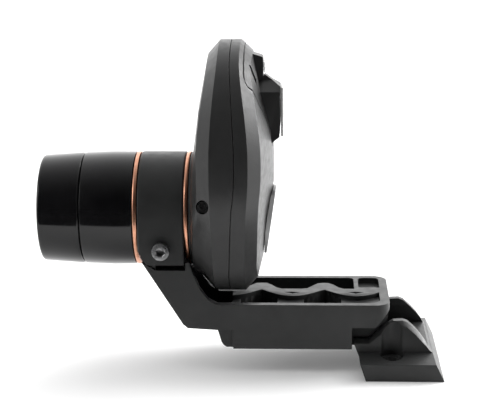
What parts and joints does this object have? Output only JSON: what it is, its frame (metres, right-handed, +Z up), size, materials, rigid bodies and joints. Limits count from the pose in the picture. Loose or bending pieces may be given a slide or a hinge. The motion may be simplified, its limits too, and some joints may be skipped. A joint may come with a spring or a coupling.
{
  "type": "telescope alignment camera on dovetail bracket",
  "caption": "Star-sensing alignment camera with a capped lens, held by a ring clamp on a cast ribbed bracket whose dovetail foot slides into a screw-down base shoe.",
  "frame": {"origin": "middle of the base shoe's flat underside", "axes": "+X away from the lens along the optical axis, +Y towards the thumbscrew side, +Z up from the shoe; the optical axis is parallel to X at y = 0"},
  "size_m": [0.1643, 0.0918, 0.134],
  "materials": {
    "gloss_black": "gloss",
    "copper": "polished copper",
    "satin_black": "black anodised",
    "coated_glass": "coated",
    "rubber": "matte",
    "shell_black": "fine texture",
    "silver": "satin silver",
    "port_plastic": "satin",
    "contact": "gold plated",
    "lamp": "clear",
    "badge": "satin",
    "chip": "matte",
    "circuit_board": "solder resist",
    "ribbon": "polyimide",
    "cast_black": "fine matte coat",
    "black_steel": "black oxide"
  },
  "bodies": {
    "shoe": {"dovetail_base": "cast_black"},
    "bracket": {"bracket_arm": "cast_black", "clamp_strap": "cast_black", "clamp_liner": "rubber"},
    "camera": {"lens_hood": "gloss_black", "copper_ring_front": "copper", "copper_ring_rear": "copper", "lens_barrel": "satin_black", "front_lens": "coated_glass", "second_lens": "coated_glass", "third_lens": "coated_glass", "rear_lens": "coated_glass", "lens_retaining_ring": "rubber", "front_spacer": "rubber", "middle_spacer": "rubber", "rear_spacer": "rubber", "front_shell": "shell_black", "rear_shell": "shell_black", "port_housing": "shell_black", "shell_gasket": "rubber", "port_plate": "silver", "aux_jack": "port_plastic", "jack_contacts": "contact", "status_lamp": "lamp", "rear_badge": "badge", "ir_filter": "coated_glass", "image_sensor": "chip", "sensor_board": "circuit_board", "main_board": "circuit_board", "processor": "chip", "ribbon_socket": "chip", "sensor_ribbon": "ribbon", "case_screw_1": "black_steel", "board_standoff_1": "contact", "case_screw_2": "black_steel", "board_standoff_2": "contact", "case_screw_3": "black_steel", "board_standoff_3": "contact", "case_screw_4": "black_steel", "board_standoff_4": "contact", "lens_lock_screw_1": "black_steel", "lens_lock_screw_2": "black_steel", "lens_lock_screw_3": "black_steel"},
    "cap": {"lens_cap": "gloss_black"},
    "lock_advance": {"thumbscrew_shank": "black_steel", "pressure_pad": "contact"},
    "lock_knob": {"thumbscrew_knob": "rubber"},
    "near_clamp_screw": {"clamp_screw_near": "black_steel"},
    "far_clamp_screw": {"clamp_screw_far": "black_steel"}
  },
  "joints": [
    {"name": "dovetail_slide", "type": "slide", "parent": "shoe", "child": "bracket", "axis": [-1, 0, 0], "range_m": [0, 0.036]},
    {"name": "camera_turn", "type": "hinge", "parent": "bracket", "child": "camera", "pos_m": [-0.09825, 0, 0.0644], "axis": [-1, 0, 0], "range_deg": [-40, 40]},
    {"name": "cap_pull", "type": "slide", "parent": "camera", "child": "cap", "axis": [-1, 0, 0], "range_m": [0, 0.035]},
    {"name": "lock_travel", "type": "slide", "parent": "shoe", "child": "lock_advance", "axis": [0, 1, 0], "range_m": [0, 0.0014]},
    {"name": "lock_turn", "type": "hinge", "parent": "lock_advance", "child": "lock_knob", "pos_m": [-0.01, 0.0224, 0.0134], "axis": [0, 1, 0], "range_deg": [0, 720]},
    {"name": "near_clamp_turn", "type": "hinge", "parent": "bracket", "child": "near_clamp_screw", "pos_m": [-0.09825, -0.0237, 0.0524], "axis": [0, -1, 0], "range_deg": [0, 180]},
    {"name": "far_clamp_turn", "type": "hinge", "parent": "bracket", "child": "far_clamp_screw", "pos_m": [-0.09825, 0.0237, 0.0524], "axis": [0, 1, 0], "range_deg": [0, 180]}
  ],
  "couplings": [
    {"joint": "lock_turn", "follows": "lock_travel", "rad_per_m": 8976}
  ]
}
